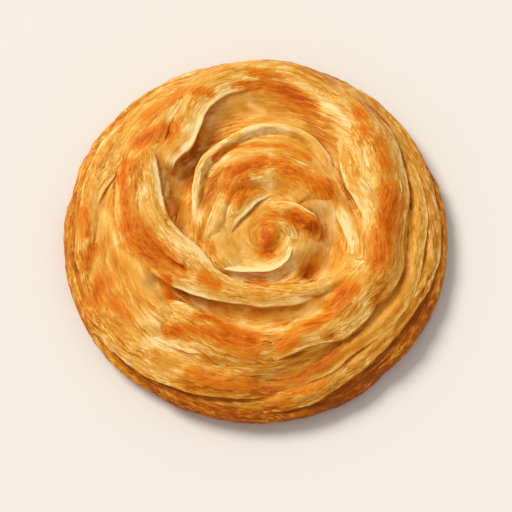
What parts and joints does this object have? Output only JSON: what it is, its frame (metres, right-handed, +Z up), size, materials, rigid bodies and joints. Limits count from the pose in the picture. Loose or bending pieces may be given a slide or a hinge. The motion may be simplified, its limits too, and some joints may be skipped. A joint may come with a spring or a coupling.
{
  "type": "layered paratha flatbread",
  "caption": "Round layered flatbread: pleated dough coiled from an off-centre eye, pressed flat and toasted, with free fold edges on top and a flat underside.",
  "frame": {"origin": "middle of the flat underside, below the middle of the bread's box", "axes": "+Z up through the bread, from its underside to its coiled top; -Y towards the viewer who sees the coil's eye a little right of the middle"},
  "size_m": [0.1794, 0.1794, 0.0275],
  "materials": {
    "toasted_dough": "dry flaky crust with a faint oily sheen, golden, with toasted patches on the high folds"
  },
  "bodies": {
    "root": {"paratha": "toasted_dough"}
  },
  "joints": []
}
